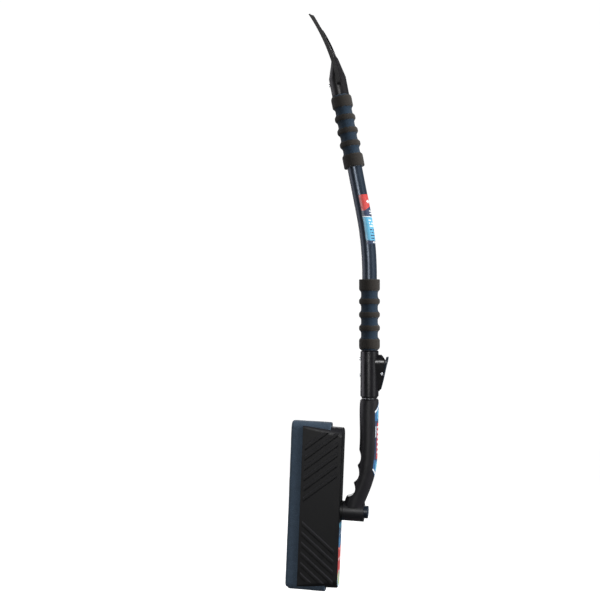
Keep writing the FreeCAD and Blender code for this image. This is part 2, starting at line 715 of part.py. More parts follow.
def shell_body():
    """The whole shell: a closed spine with a rounded front outline, and two cheeks that square up."""
    sections = (  # inset, corner radius, y
        (SHELL_BEVEL, HEAD_HALF_WIDTH - SHELL_BEVEL - 0.2, HEAD_FRONT_Y),
        (0.0, HEAD_HALF_WIDTH - 0.2, HEAD_FRONT_Y + SHELL_BEVEL),
        (0.0, 3.2, HEAD_BACK_Y),
    )
    outlines = [
        rounded_rectangle(HEAD_HALF_WIDTH - inset, HEAD_HALF_LENGTH - inset, radius, y)
        for inset, radius, y in sections
    ]
    outer = Part.makeLoft(outlines, True, True)
    inner_x = HEAD_HALF_WIDTH - SHELL_WALL
    pocket = box(-inner_x, inner_x, spine_back(), HEAD_BACK_Y + 5, -200, 200)
    hollow_wire = rounded_rectangle(inner_x, HEAD_HALF_LENGTH - 8, inner_x - 0.2, HEAD_FRONT_Y + SHELL_WALL)
    hollow = Part.Face(hollow_wire).extrude(Vector(0, SPINE_DEPTH - 2 * SHELL_WALL, 0))
    body = outer.cut(pocket).cut(hollow)
    middle_y = HEAD_FRONT_Y + SPINE_DEPTH / 2
    bosses = [rod_x(4.2, middle_y, z, inner_x + 0.5) for z in SHELL_SCREWS_Z]
    body = fuse(body, *bosses)
    for z in SHELL_SCREWS_Z:
        body = body.cut(rod(1.5, Vector(-12, middle_y, z), Vector(30, middle_y, z)))
        body = body.cut(rod(3.3, Vector(12, middle_y, z), Vector(30, middle_y, z)))
    return body


def on_head(shape):
    shape = shape.copy()
    shape.translate(Vector(0, 0, HEAD_CENTRE_Z))
    return on_pivot(shape)


def shell_half(side):
    keep = box(min(0, side * 40), max(0, side * 40), 0, 200, -200, 200)
    half = fuse(shell_body().common(keep), *ridges(side))
    for x, z in hub_screw_places():
        half = half.cut(rod_y(1.7, HEAD_FRONT_Y - 1, HEAD_FRONT_Y + SHELL_WALL + 1, x, z - HEAD_CENTRE_Z))
    return on_head(half)


def shell_screws():
    middle_y = HEAD_FRONT_Y + SPINE_DEPTH / 2
    screws = []
    for z in SHELL_SCREWS_Z:
        head = rod(3.2, Vector(12, middle_y, z), Vector(14.5, middle_y, z))
        shank = rod(1.5, Vector(-11.5, middle_y, z), Vector(12, middle_y, z))
        screws.append(fuse(head, shank).cut(box(13.6, 15, middle_y - 0.5, middle_y + 0.5, z - 2, z + 2)))
    return on_head(Part.makeCompound(screws))


def foam_blade():
    half_x = HEAD_HALF_WIDTH - SHELL_WALL - 0.05
    wire = rounded_rectangle(half_x, FOAM_HALF_LENGTH, FOAM_END_R, spine_back())
    foam = Part.Face(wire).extrude(Vector(0, FOAM_BACK_Y - spine_back(), 0))
    back = [e for e in foam.Edges if e.BoundBox.YMin > FOAM_BACK_Y - 0.01]
    return on_head(foam.makeFillet(4.0, back))


def head_label():
    """The strip on the front of the spine, from below the pivot to the rounded lower end."""
    half = HEAD_HALF_WIDTH - 2.6
    wire = rounded_rectangle(half, HEAD_HALF_LENGTH - 2.6, half - 0.2, HEAD_FRONT_Y - LABEL_THICK)
    strip = Part.Face(wire).extrude(Vector(0, LABEL_THICK, 0))
    top = -BARREL_R - 3.5 - HEAD_CENTRE_Z
    return on_head(strip.common(box(-40, 40, 0, 60, -200, top)))


def export(name, shape, origin):
    shape = shape.copy()
    shape.translate(origin.negative())
    solids = shape.Solids
    result = solids[0] if len(solids) == 1 else Part.makeCompound(solids)
    if not solids or not result.isValid():
        raise ValueError(f"{name} is not a valid solid")
    result.exportStep(f"parts/{name}.step")
    print(f"{name}: {len(solids)} solid(s), {result.Volume / 1000:.2f} cm3")


def main():
    os.makedirs("parts", exist_ok=True)
    centre, _ = hang_hole_centre()
    origin = on_upper(Part.Vertex(centre)).Point
    shapes = {
        "scraper_blade": scraper_blade(),
        "blade_label": blade_label(),
        "blade_screw": blade_screw(),
        "outer_tube": outer_tube(),
        "tube_label": tube_label(),
        "upper_grip_core": on_upper(grip_core(UPPER_GRIP, True)),
        "upper_grip_skin": on_upper(grip_skin(UPPER_GRIP, True)),
        "lower_grip_core": grip_core(LOWER_GRIP, False),
        "lower_grip_skin": grip_skin(LOWER_GRIP, False),
        "clamp_housing": clamp_housing(),
        "housing_screws": housing_screws(),
        "guide_bush": guide_bush(),
        "lever_pin": lever_pin(),
        "lever_spring": lever_spring(),
        "lock_lever": lock_lever(),
        "lock_pawl": pawl_sector(),
        "inner_tube": inner_tube(),
        "tube_glide": tube_glide(),
        "arm": arm(),
        "arm_label": arm_label(),
        "arm_screws": arm_screws(),
        "spline_ring": spline_ring(),
        "push_button": push_button(),
        "lock_gear": lock_gear(),
        "button_screw": button_screw(),
        "button_spring": button_spring(),
        "pivot_hub": pivot_hub(),
        "retaining_ring": retaining_ring(),
        "hub_screws": hub_screws(),
        "shell_left": shell_half(-1),
        "shell_right": shell_half(1),
        "shell_screws": shell_screws(),
        "foam_blade": foam_blade(),
        "head_label": head_label(),
    }
    for name, shape in shapes.items():
        export(name, shape, origin)
    print("origin in the handle's frame:", [round(v, 4) for v in origin])
    print("bend end:", [round(v, 4) for v in bend_end() - origin])
    print("lever pin:", [round(v, 4) for v in Vector(0, *LEVER_PIN) - origin])
    print("pivot:", [round(v, 4) for v in Vector(0, *PIVOT) - origin])


main()
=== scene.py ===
import json
import math
from collections import Counter

import bmesh
import bpy
from mathutils import Matrix, Vector, noise


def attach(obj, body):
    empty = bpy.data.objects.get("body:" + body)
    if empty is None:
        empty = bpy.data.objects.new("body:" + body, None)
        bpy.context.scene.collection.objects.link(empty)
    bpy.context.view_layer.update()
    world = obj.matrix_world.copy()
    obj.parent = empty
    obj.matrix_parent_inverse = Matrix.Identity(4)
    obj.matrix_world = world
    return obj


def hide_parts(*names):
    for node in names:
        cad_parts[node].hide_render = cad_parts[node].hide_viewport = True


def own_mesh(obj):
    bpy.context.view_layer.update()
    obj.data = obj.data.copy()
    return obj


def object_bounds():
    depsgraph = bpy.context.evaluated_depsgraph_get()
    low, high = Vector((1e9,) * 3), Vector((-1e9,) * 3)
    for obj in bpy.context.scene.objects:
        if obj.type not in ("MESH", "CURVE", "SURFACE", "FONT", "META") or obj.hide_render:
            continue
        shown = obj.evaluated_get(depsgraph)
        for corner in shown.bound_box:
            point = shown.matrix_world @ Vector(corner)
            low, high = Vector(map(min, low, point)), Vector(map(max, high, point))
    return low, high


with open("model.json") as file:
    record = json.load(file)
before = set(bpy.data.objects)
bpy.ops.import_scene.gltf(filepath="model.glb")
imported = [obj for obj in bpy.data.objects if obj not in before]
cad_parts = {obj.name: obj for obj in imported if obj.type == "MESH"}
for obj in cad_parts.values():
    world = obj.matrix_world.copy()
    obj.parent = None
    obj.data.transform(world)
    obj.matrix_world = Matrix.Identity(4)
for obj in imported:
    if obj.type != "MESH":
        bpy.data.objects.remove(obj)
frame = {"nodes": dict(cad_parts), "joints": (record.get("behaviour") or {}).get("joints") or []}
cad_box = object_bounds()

# A telescoping snow pusher with an ice scraper, in metres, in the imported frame. Materials, labels and
# foam are laid out in millimetres, in three frames that belong to the object:
# - HANDLE: z = 0 at the clamp housing's lower end, and z runs up the straight stretch.
# - UPPER: z runs along the upper straight stretch, from the end of the bend.
# - HEAD: zero at the pivot, with y along its axis.
MM = 0.001
BEND_RADIUS, BEND_START, BEND_DEG = 600.0, 224.0, 11.0
LEVER_PIN_IN_HANDLE = Vector((0, -24.3, 43.4))
HEAD_CENTRE_Z = 5.0  # the shell's middle, above the pivot

joints = {joint["name"]: joint for joint in frame["joints"]}
pivot_point = Vector(joints["head_pivot"]["pos_m"])
pivot_axis = Vector(joints["head_pivot"]["axis"])
pivot_tilt = math.atan2(pivot_axis.z, pivot_axis.y)
handle_point = Vector(joints["lock_lever_pivot"]["pos_m"]) - LEVER_PIN_IN_HANDLE * MM
bend_turn = math.radians(BEND_DEG)
bend_end = Vector((
    0,
    BEND_RADIUS * (1 - math.cos(bend_turn)),
    BEND_START + BEND_RADIUS * math.sin(bend_turn),
))

# Each frame is the point that becomes zero and the turn about X that undoes its tilt.
HANDLE = (handle_point, 0.0)
UPPER = (handle_point + bend_end * MM, bend_turn)
HEAD = (pivot_point, -pivot_tilt)


def srgb(red, green, blue):
    """A linear colour from its 0 to 255 values."""
    shares = [value / 255 for value in (red, green, blue)]
    return tuple(s / 12.92 if s <= 0.04045 else ((s + 0.055) / 1.055) ** 2.4 for s in shares) + (1.0,)


def shade(colour, factor):
    return tuple(min(1.0, value * factor) for value in colour[:3]) + (1.0,)


# Colours
CHARCOAL = srgb(30, 29, 31)
ARM_CHARCOAL = srgb(35, 34, 37)
BLACK = srgb(14, 14, 16)
GLOSS_BLACK = srgb(17, 16, 20)
FOAM_BROWN = srgb(50, 47, 44)
FOAM_NAVY = srgb(36, 50, 64)
FOAM_SLATE = srgb(78, 94, 111)
TUBE_NAVY = srgb(36, 47, 60)
LEVER_NAVY = srgb(28, 38, 50)
ALUMINIUM = srgb(160, 162, 166)
STEEL = srgb(176, 178, 182)
NATURAL = srgb(206, 203, 194)
FULL_BLACK = (0.0, 0.0, 0.0, 1.0)
FULL_WHITE = (1.0, 1.0, 1.0, 1.0)

# Inks of the labels
SKY = srgb(84, 166, 200)
PALE_SKY = srgb(176, 206, 220)
DEEP_BLUE = srgb(20, 40, 74)
SEA_BLUE = srgb(22, 76, 114)
MID_BLUE = srgb(32, 94, 142)
RED = srgb(186, 50, 46)
DARK_RED = srgb(96, 22, 26)
PINK = srgb(240, 140, 130)
CORAL = srgb(240, 150, 130)
LIME = srgb(196, 206, 84)
WHITE = srgb(222, 226, 228)
PALE_GREY = srgb(196, 206, 214)
GREY = srgb(150, 150, 156)
INK = srgb(34, 32, 36)


class Look:
    """A material under construction. Its helpers add nodes and return their output sockets."""

    def __init__(self, name, place=HANDLE):
        self.material = bpy.data.materials.new(name)
        self.material.use_nodes = True
        self.tree = self.material.node_tree
        self.shader = self.tree.nodes["Principled BSDF"]
        point, turn = place
        moved = self.vector("SUBTRACT", self.node("TexCoord", output="Object"), tuple(point))
        scaled = self.vector("MULTIPLY", moved, (1 / MM,) * 3)
        turned = {"Vector": scaled, "Angle": turn}
        self.place = self.node("VectorRotate", turned, rotation_type="X_AXIS")
        self.x = self.node("SeparateXYZ", {"Vector": self.place}, output="X")
        self.z = self.node("SeparateXYZ", {"Vector": self.place}, output="Z")

    def node(self, kind, inputs=None, output=0, **settings):
        node = self.tree.nodes.new("ShaderNode" + kind)
        for name, value in settings.items():
            setattr(node, name, value)
        for name, value in (inputs or {}).items():
            self.put(node.inputs[name], value)
        return node.outputs[output]

    def put(self, socket, value):
        if isinstance(value, bpy.types.NodeSocket):
            self.tree.links.new(value, socket)
        else:
            socket.default_value = value

    def math(self, operation, *values):
        return self.node("Math", dict(enumerate(values)), operation=operation)

    def add(self, first, second):
        return self.math("ADD", first, second)

    def subtract(self, first, second):
        return self.math("SUBTRACT", first, second)

    def multiply(self, first, second):
        return self.math("MULTIPLY", first, second)

    def size(self, value):
        return self.math("ABSOLUTE", value)

    def below(self, value, limit):
        return self.math("LESS_THAN", value, limit)

    def above(self, value, limit):
        return self.math("GREATER_THAN", value, limit)

    def radius(self, first, second):
        squares = self.add(self.multiply(first, first), self.multiply(second, second))
        return self.math("SQRT", squares)

    def vector(self, operation, *values):
        output = "Value" if operation == "DOT_PRODUCT" else "Vector"
        return self.node("VectorMath", dict(enumerate(values)), output=output, operation=operation)

    def mix(self, share, first, second):
        # The Mix node's inputs 0, 6 and 7 and its output 2 are those of its colour mode.
        inputs = {0: share, 6: first, 7: second}
        return self.node("Mix", inputs, output=2, data_type="RGBA", clamp_factor=True)

    def remap(self, value, low, high, to_low=0.0, to_high=1.0):
        inputs = {0: value, 1: low, 2: high, 3: to_low, 4: to_high}
        return self.node("MapRange", inputs, clamp=True)

    def noise(self, scale, detail=2.0, stretch=(1, 1, 1), shift=0.0):
        """Noise with about scale features to a millimetre, drawn out along axes of a small stretch."""
        stretched = self.vector("MULTIPLY", self.place, stretch)
        moved = self.vector("ADD", stretched, (shift, shift, shift))
        return self.node("TexNoise", {"Vector": moved, "Scale": scale, "Detail": detail})

    def cells(self, scale):
        inputs = {"Vector": self.place, "Scale": scale}
        return self.node("TexVoronoi", inputs, output="Distance", feature="F1")

    def band(self, value, low, high):
        """1 where value is from low to high, and 0 elsewhere."""
        return self.math("COMPARE", value, (low + high) / 2, (high - low) / 2)

    def both(self, *masks):
        """1 where every mask is 1."""
        result = masks[0]
        for mask in masks[1:]:
            result = self.multiply(result, mask)
        return result

    def box(self, x, y, x0, x1, y0, y1):
        return self.both(self.band(x, x0, x1), self.band(y, y0, y1))

    def stripes(self, value, pitch, share, start=0.0):
        """1 on the first share of each pitch."""
        turns = self.math("FRACT", self.math("DIVIDE", self.subtract(value, start), pitch))
        return self.below(turns, share)

    def dashes(self, along, across, pitch, share, length, start=0.0, fill=0.62):
        """Rows of broken dashes, a pitch apart, that fill part of each row."""
        row = self.math("FLOOR", self.math("DIVIDE", self.subtract(across, start), pitch))
        step = self.math("FLOOR", self.math("DIVIDE", along, length))
        cell = self.node("CombineXYZ", {"X": step, "Y": row})
        chance = self.node("TexWhiteNoise", {"Vector": cell}, noise_dimensions="2D")
        return self.both(self.stripes(across, pitch, share, start), self.below(chance, fill))

    def diamonds(self, from_row, spacing, half_height, half_width):
        """A row of touching diamonds about x = 0, each two spacings wide."""
        reach = self.add(self.size(from_row), self.math("PINGPONG", self.x, spacing))
        return self.both(self.below(reach, half_height), self.band(self.x, -half_width, half_width))

    def round_edges(self, radius=0.5):
        """A normal that rounds sharp edges, and how close a point is to one."""
        normal = self.node("Bevel", {"Radius": radius * MM})
        flat = self.node("NewGeometry", output="Normal")
        facing = self.vector("DOT_PRODUCT", normal, flat)
        return normal, self.remap(facing, 0.995, 0.80)

    def bump(self, height, depth, normal=None):
        """Turns a height from 0 to 1 into relief that is depth millimetres deep."""
        inputs = {"Height": height, "Distance": depth * MM, "Strength": 1.0}
        if normal is not None:
            inputs["Normal"] = normal
        return self.node("Bump", inputs)

    def finish(self, colour, roughness, normal, **more):
        inputs = {"Base Color": colour, "Roughness": roughness, "Normal": normal, **more}
        for name, value in inputs.items():
            self.put(self.shader.inputs[name], value)
        return self.material


# Materials
def moulded(
    name, colour, roughness, place=HANDLE, grain=0.02, grain_scale=2.2, edge=0.35, shine=0.2, dust_and_painted_top_light=0.0
):
    """Moulded plastic: sparked grain, slight flow tone, drawn scuffs, lighter rubbed edges, and, where
    a share is given, a painted highlight on faces that turn upwards.
    """
    look = Look(name, place)
    normal, rub = look.round_edges()
    tone = look.mix(look.noise(0.018, 3.0), shade(colour, 0.82), shade(colour, 1.2))
    scuffs = look.remap(look.noise(1.1, 2.0, (1, 1, 0.04)), 0.66, 0.8)
    marked = look.mix(look.multiply(scuffs, 0.25), tone, shade(colour, 3.0))
    worn = look.mix(look.multiply(rub, edge), marked, shade(colour, 3.4))
    # Painted highlight: faces that turn upwards, such as the shell's rib flanks and top end, are
    # painted up to seven times lighter, standing in for light from above.
    if dust_and_painted_top_light:
        facing_up = look.vector("DOT_PRODUCT", look.node("TexCoord", output="Normal"), (0, 0, 1))
        painted_top_light = look.remap(facing_up, 0.18, 0.42, 0.0, dust_and_painted_top_light)
        worn = look.mix(painted_top_light, worn, shade(colour, 7.0))
    blotch = look.remap(look.noise(0.09, 3.0), 0.3, 0.7, roughness * 0.85, roughness * 1.18)
    dull = look.add(blotch, look.multiply(scuffs, 0.12))
    relief = look.bump(look.noise(grain_scale, 3.0), grain, normal)
    return look.finish(worn, dull, relief, **{"Specular IOR Level": shine})


def foam(name, colour, place=HANDLE):
    """Cut closed-cell foam: open cells with painted shade in their pits, mottling and a dusty bloom."""
    look = Look(name, place)
    pits = look.remap(look.cells(1.15), 0.05, 0.55)
    mottle = look.noise(0.07, 4.0)
    tone = look.mix(mottle, shade(colour, 0.78), shade(colour, 1.25))
    # Painted shade: the sunken pits of the cells are darkened to 0.62 of the foam's colour.
    painted_pit_shade = look.mix(pits, shade(colour, 0.62), tone)
    dust_and_painted_top_light = look.remap(look.noise(0.55, 5.0), 0.52, 0.78, 0.0, 0.4)
    bloomed = look.mix(dust_and_painted_top_light, painted_pit_shade, shade(colour, 1.7))
    height = look.add(look.multiply(pits, 0.7), look.multiply(look.noise(0.35, 3.0), 0.6))
    rough = look.remap(mottle, 0.3, 0.7, 0.82, 0.98)
    sheen = {"Sheen Weight": 0.22, "Sheen Roughness": 0.45, "Specular IOR Level": 0.1}
    return look.finish(bloomed, rough, look.bump(height, 0.16), **sheen)


def painted_tube():
    """Metallic paint on drawn tube: fine flake, faint orange peel, and rub marks along the tube."""
    look = Look("tube_paint")
    tone = look.mix(look.noise(0.02, 3.0), shade(TUBE_NAVY, 0.8), shade(TUBE_NAVY, 1.25))
    flakes = look.remap(look.noise(5.0, 1.0), 0.6, 0.75, 0.0, 0.35)
    flaked = look.mix(flakes, tone, shade(TUBE_NAVY, 3.0))
    lines = look.remap(look.noise(1.6, 2.0, (1, 1, 0.015)), 0.64, 0.72)
    patches = look.remap(look.noise(0.03, 2.0, shift=40.0), 0.5, 0.62)
    rubs = look.both(lines, patches)
    marked = look.mix(look.multiply(rubs, 0.5), flaked, shade(ALUMINIUM, 0.6))
    satin = look.remap(look.noise(0.12, 3.0), 0.3, 0.7, 0.30, 0.39)
    rough = look.add(satin, look.multiply(rubs, 0.2))
    peel = look.bump(look.noise(0.3, 2.0), 0.006)
    return look.finish(marked, rough, peel, Metallic=0.3, **{"Specular IOR Level": 0.35})


def brushed(name, colour, roughness, stretch=(1, 1, 0.02)):
    """Bare metal with drawing lines, stains and rounded edges."""
    look = Look(name)
    normal, rub = look.round_edges(0.2)
    lines = look.noise(4.0, 3.0, stretch)
    stain = look.remap(look.noise(0.06, 4.0), 0.52, 0.72, 0.0, 0.35)
    tone = look.mix(lines, shade(colour, 0.72), colour)
    stained = look.mix(stain, tone, shade(colour, 0.5))
    bright = look.mix(look.multiply(rub, 0.4), stained, WHITE)
    rough = look.remap(lines, 0.3, 0.7, roughness * 0.8, roughness * 1.3)
    return look.finish(bright, rough, look.bump(lines, 0.008, normal), Metallic=1.0)


def printed(look, colour):
    """The finish that every label shares: satin film, a little curl and wear in the print."""
    roughness = 0.42
    wear = look.remap(look.noise(0.9, 4.0), 0.66, 0.78, 0.0, 0.45)
    tone = look.mix(look.noise(0.05, 3.0), FULL_BLACK, FULL_WHITE)
    shaded = look.mix(0.06, colour, tone)
    worn = look.mix(wear, shaded, look.mix(0.5, shaded, WHITE))
    rough = look.remap(look.noise(0.2, 3.0), 0.3, 0.7, roughness * 0.8, roughness * 1.3)
    relief = look.bump(look.noise(0.12, 2.0), 0.03)
    return look.finish(worn, rough, relief, **{"Specular IOR Level": 0.3})


def paint(look, colour, *layers):
    """Lays (mask, colour) layers over a ground colour."""
    for mask, ink in layers:
        colour = look.mix(mask, colour, ink)
    return colour


# Labels. Their numbers are millimetres in the label's own frame.
def tube_label():
    """Blocks from the top: red with diamonds, deep blue with bars, sky with rows of dashes, a foot."""
    look = Look("tube_label")
    x, z = look.x, look.z
    arch_top, line_top, line_foot, foot_top, foot = 351.0, 332.5, 331.0, 288.0, 280.0
    arch = look.add(z, look.multiply(look.multiply(x, x), 0.03))
    rows = look.dashes(x, z, 5.4, 0.46, 1.7, 313.0)
    dark_rows = look.dashes(x, z, 5.2, 0.42, 1.4, 291.0, 0.75)
    bars = look.both(look.stripes(z, 4.4, 0.5, 336.6), look.box(x, z, -9.0, 9.0, 336.6, 345.5))
    foot_bars = look.both(look.stripes(x, 2.6, 0.6, -10.0), look.box(x, z, -10.0, 10.0, 283.0, 286.4))
    colour = paint(
        look,
        SKY,
        (look.above(arch, arch_top), RED),
        (look.both(look.below(arch, arch_top), look.above(z, line_top)), DEEP_BLUE),
        (look.band(z, line_foot, line_top), WHITE),
        (look.band(z, foot, foot_top), DEEP_BLUE),
        (look.diamonds(look.subtract(z, 360.0), 3.9, 3.6, 11.7), WHITE),
        (bars, WHITE),
        (look.both(rows, look.box(x, z, -13.5, 13.5, 313.0, 329.0)), WHITE),
        (look.both(dark_rows, look.box(x, z, -13.5, 13.5, 291.0, 311.5)), DEEP_BLUE),
        (foot_bars, WHITE),
    )
    return printed(look, colour)


def arm_label():
    """A long badge: blue ends with pale outlines, a deep blue middle, and red with slanted bars."""
    label_middle, end_start = 79.5, 36.0
    look = Look("arm_label")
    x = look.x
    z = look.add(look.z, label_middle)
    reach = look.size(z)
    side = look.size(x)
    point = look.add(reach, look.multiply(side, 0.95))
    slant = look.add(z, look.multiply(x, 0.45))
    bars = look.both(
        look.stripes(slant, 9.2, 0.56, 2.0), look.band(x, -5.6, 5.6), look.band(z, -28.0, 26.0)
    )
    rows = look.dashes(z, x, 3.2, 0.5, 1.8)
    colour = paint(
        look,
        DEEP_BLUE,
        (look.above(reach, end_start), MID_BLUE),
        (look.both(look.band(reach, 40.0, 56.0), look.band(x, -7.0, 7.0)), SKY),
        (look.band(point, 63.0, 66.5), WHITE),
        (look.both(look.band(side, 9.2, 11.4), look.band(z, 6.0, 26.0)), PALE_GREY),
        (look.both(look.band(z, -34.0, 32.0), look.band(x, -7.4, 7.4)), RED),
        (bars, WHITE),
        (look.both(rows, look.band(reach, 41.0, 54.0), look.band(x, -5.0, 5.0)), DEEP_BLUE),
    )
    return printed(look, colour)


def head_label():
    """Curved bands below the pivot: sky, two blues, red with diamonds, and a round badge at the end."""
    badge_z, badge_rim, badge_face, diamonds_z = -130.5, 15.0, 12.2, -95.0
    look = Look("head_label", HEAD)
    x = look.x
    z = look.subtract(look.z, HEAD_CENTRE_Z)
    sag = look.multiply(look.multiply(x, x), -0.018)
    level = look.add(z, look.add(sag, 2.0))
    from_badge = look.subtract(z, badge_z)
    radius = look.radius(x, from_badge)
    face = look.below(radius, badge_face)
    lean = look.subtract(from_badge, look.multiply(x, 0.9))
    rows = look.dashes(x, z, 4.6, 0.42, 1.5, 1.0)
    colour = paint(
        look,
        RED,
        (look.above(level, -36.0), SKY),
        (look.band(level, -53.0, -36.0), SEA_BLUE),
        (look.band(level, -72.0, -53.0), MID_BLUE),
        (look.band(level, -75.5, -73.5), CORAL),
        (look.both(rows, look.box(x, z, -9.0, 9.0, -50.0, -40.0)), WHITE),
        (look.both(rows, look.box(x, z, -9.5, 9.5, -68.0, -57.5)), SKY),
        (look.diamonds(look.subtract(z, diamonds_z), 3.6, 3.2, 10.8), WHITE),
        (look.below(from_badge, 0.0), DEEP_BLUE),
        (look.below(radius, badge_rim), PALE_SKY),
        (face, MID_BLUE),
        (look.both(face, look.below(lean, -4.0)), LIME),
        (look.both(look.below(radius, 9.0), look.band(lean, -3.0, 3.0)), WHITE),
        (look.both(face, look.above(lean, 9.0)), LIME),
    )
    return printed(look, colour)


def blade_label():
    """A leaning split: a sky and deep blue panel, a white panel with bars, and a red arch below."""
    arch_middle, arch_radius, step_z = 291.0, 27.0, 313.0
    look = Look("blade_label", UPPER)
    x, z = look.x, look.z
    split = look.subtract(x, look.multiply(look.subtract(z, 300.0), 0.20))
    right = look.above(split, 0.0)
    left = look.subtract(1.0, right)
    arch = look.radius(x, look.subtract(z, arch_middle))
    rows = look.dashes(x, z, 5.2, 0.5, 1.8, 1.0, 0.75)
    across = look.subtract(x, look.multiply(look.subtract(z, 318.0), 0.28))
    bar_step = look.math("FLOOR", look.math("DIVIDE", z, 1.1))
    codes = look.node("TexWhiteNoise", {"W": bar_step}, noise_dimensions="1D")
    bars = look.both(look.below(codes, 0.55), look.box(across, z, 10.0, 17.5, 306.0, 332.0))
    colour = paint(
        look,
        WHITE,
        (left, SKY),
        (look.both(left, look.below(z, step_z)), DEEP_BLUE),
        (look.both(left, rows, look.box(x, z, -22.0, -3.0, 318.0, 336.0)), WHITE),
        (look.both(left, rows, look.box(x, z, -20.0, -6.0, 306.0, 311.0)), SKY),
        (look.band(split, -0.5, 0.7), WHITE),
        (bars, INK),
        (look.both(right, rows, look.band(across, 5.6, 8.0)), INK),
        (look.both(right, rows, look.band(across, 20.0, 21.5)), GREY),
        (look.below(arch, arch_radius), RED),
        (look.band(arch, 23.6, 24.4), PINK),
        (look.below(arch, 21.8), DARK_RED),
    )
    return printed(look, colour)


def dress(material, *nodes):
    for name in nodes:
        slots = frame["nodes"][name].material_slots
        if not slots:
            frame["nodes"][name].data.materials.append(material)
        for slot in slots:
            slot.material = material


dress(moulded("blade_plastic", CHARCOAL, 0.36, UPPER, grain=0.012), "scraper_blade")
dress(painted_tube(), "outer_tube")
dress(
    moulded("housing_plastic", GLOSS_BLACK, 0.3, grain=0.006, grain_scale=1.2, edge=0.25, shine=0.36),
    "clamp_housing",
)
dress(moulded("lever_plastic", LEVER_NAVY, 0.34, grain=0.012), "lock_lever")
dress(moulded("arm_plastic", ARM_CHARCOAL, 0.42), "arm")
dress(moulded("button_plastic", LEVER_NAVY, 0.4, HEAD, grain=0.03), "push_button")
# The shell gets a painted highlight on its upward-facing faces, as if lit from above.
dress(
    moulded("shell_plastic", BLACK, 0.5, HEAD, grain=0.03, edge=0.6, dust_and_painted_top_light=0.6),
    "shell_left", "shell_right",
)
dress(moulded("hub_plastic", BLACK, 0.45, HEAD), "pivot_hub")
dress(
    moulded("inner_plastic", NATURAL, 0.5, grain=0.015),
    "tube_glide", "spline_ring", "lock_gear",
)
dress(moulded("bush_plastic", CHARCOAL, 0.5, grain=0.015), "guide_bush")
dress(brushed("bare_aluminium", ALUMINIUM, 0.3), "inner_tube")
dress(
    brushed("steel", STEEL, 0.28, stretch=(1, 1, 1)),
    "lever_pin", "lever_spring", "lock_pawl", "blade_screw", "housing_screws", "arm_screws",
    "button_screw", "button_spring", "retaining_ring", "hub_screws", "shell_screws",
)
dress(tube_label(), "tube_label")
dress(arm_label(), "arm_label")
dress(head_label(), "head_label")
dress(blade_label(), "blade_label")


# Foam
LEAST_SHELL = 100  # vertices; anything smaller is a speck of the remesh
FOAM_CORNER = (140.5, HEAD_CENTRE_Z - 157.0)  # the block's lower rear edge in HEAD, as (y, z)
FOAM_CORNER_RADIUS = 9.0
BROAD_WAVE, FINE_WAVE = 0.045, 0.4  # features to a millimetre


def round_lower_rear(place):
    """Moves a point near the head's lower rear edge so that the edge becomes a round."""
    corner_y, corner_z = FOAM_CORNER
    radius = FOAM_CORNER_RADIUS
    local = Matrix.Rotation(-pivot_tilt, 3, "X") @ (place - pivot_point) / MM
    out = Vector((local.y - corner_y + radius, corner_z + radius - local.z))
    if min(out) <= 0:
        return place
    out *= max(out) / out.length
    local.y, local.z = corner_y - radius + out[0], corner_z + radius - out[1]
    return pivot_point + Matrix.Rotation(pivot_tilt, 3, "X") @ local * MM


def drop_specks(mesh):
    """Deletes the shells of a few vertices that a voxel remesh leaves at thin edges."""
    parent = list(range(len(mesh.vertices)))

    def root(index):
        while parent[index] != index:
            parent[index] = parent[parent[index]]
            index = parent[index]
        return index

    for edge in mesh.edges:
        first, second = edge.vertices
        parent[root(first)] = root(second)
    shells = [root(index) for index in range(len(parent))]
    sizes = Counter(shells)
    whole = bmesh.new()
    whole.from_mesh(mesh)
    whole.verts.ensure_lookup_table()
    specks = [whole.verts[index] for index, shell in enumerate(shells) if sizes[shell] < LEAST_SHELL]
    bmesh.ops.delete(whole, geom=specks, context="VERTS")
    whole.to_mesh(mesh)
    whole.free()


def foam_piece(name, node, body, material, voxel, sag, smoothing=3, shape=None):
    """A cut foam piece over its CAD solid, with an even mesh of the voxel size and soft edges.

    Its faces wander by up to the sag, in millimetres. A shape is a last move for every point.
    """
    piece = bpy.data.objects.new(name, frame["nodes"][node].data.copy())
    bpy.context.scene.collection.objects.link(piece)
    remesh = piece.modifiers.new("even", "REMESH")
    remesh.mode = "VOXEL"
    remesh.voxel_size = voxel * MM
    smooth = piece.modifiers.new("soften", "SMOOTH")
    smooth.iterations = smoothing
    depsgraph = bpy.context.evaluated_depsgraph_get()
    mesh = bpy.data.meshes.new_from_object(piece.evaluated_get(depsgraph))
    piece.modifiers.clear()
    piece.data = mesh
    drop_specks(mesh)
    moved = []
    # Every normal is copied before any vertex moves: a move makes Blender work them all out again.
    for place, normal in [(vertex.co.copy(), vertex.normal.copy()) for vertex in mesh.vertices]:
        broad = noise.noise(place / MM * BROAD_WAVE)
        fine = noise.noise(place / MM * FINE_WAVE)
        place = place + normal * ((broad * 0.75 + fine * 0.25) * sag * MM)
        moved.extend(shape(place) if shape else place)
    mesh.vertices.foreach_set("co", moved)
    mesh.materials.clear()
    mesh.materials.append(material)
    mesh.polygons.foreach_set("use_smooth", [True] * len(mesh.polygons))
    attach(piece, body)
    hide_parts(node)


brown_foam = foam("grip_foam", FOAM_BROWN)
navy_foam = foam("core_foam", FOAM_NAVY)
for grip in ("upper_grip", "lower_grip"):
    foam_piece(
        grip + "_outer_foam", grip + "_skin", "handle", brown_foam,
        voxel=0.75, sag=0.12,
    )
    foam_piece(
        grip + "_inner_foam", grip + "_core", "handle", navy_foam,
        voxel=0.9, sag=0.1,
    )
slate_foam = foam("head_foam", FOAM_SLATE, HEAD)
foam_piece(
    "blade_foam", "foam_blade", "head", slate_foam,
    voxel=1.4, sag=0.35, smoothing=5, shape=round_lower_rear,
)

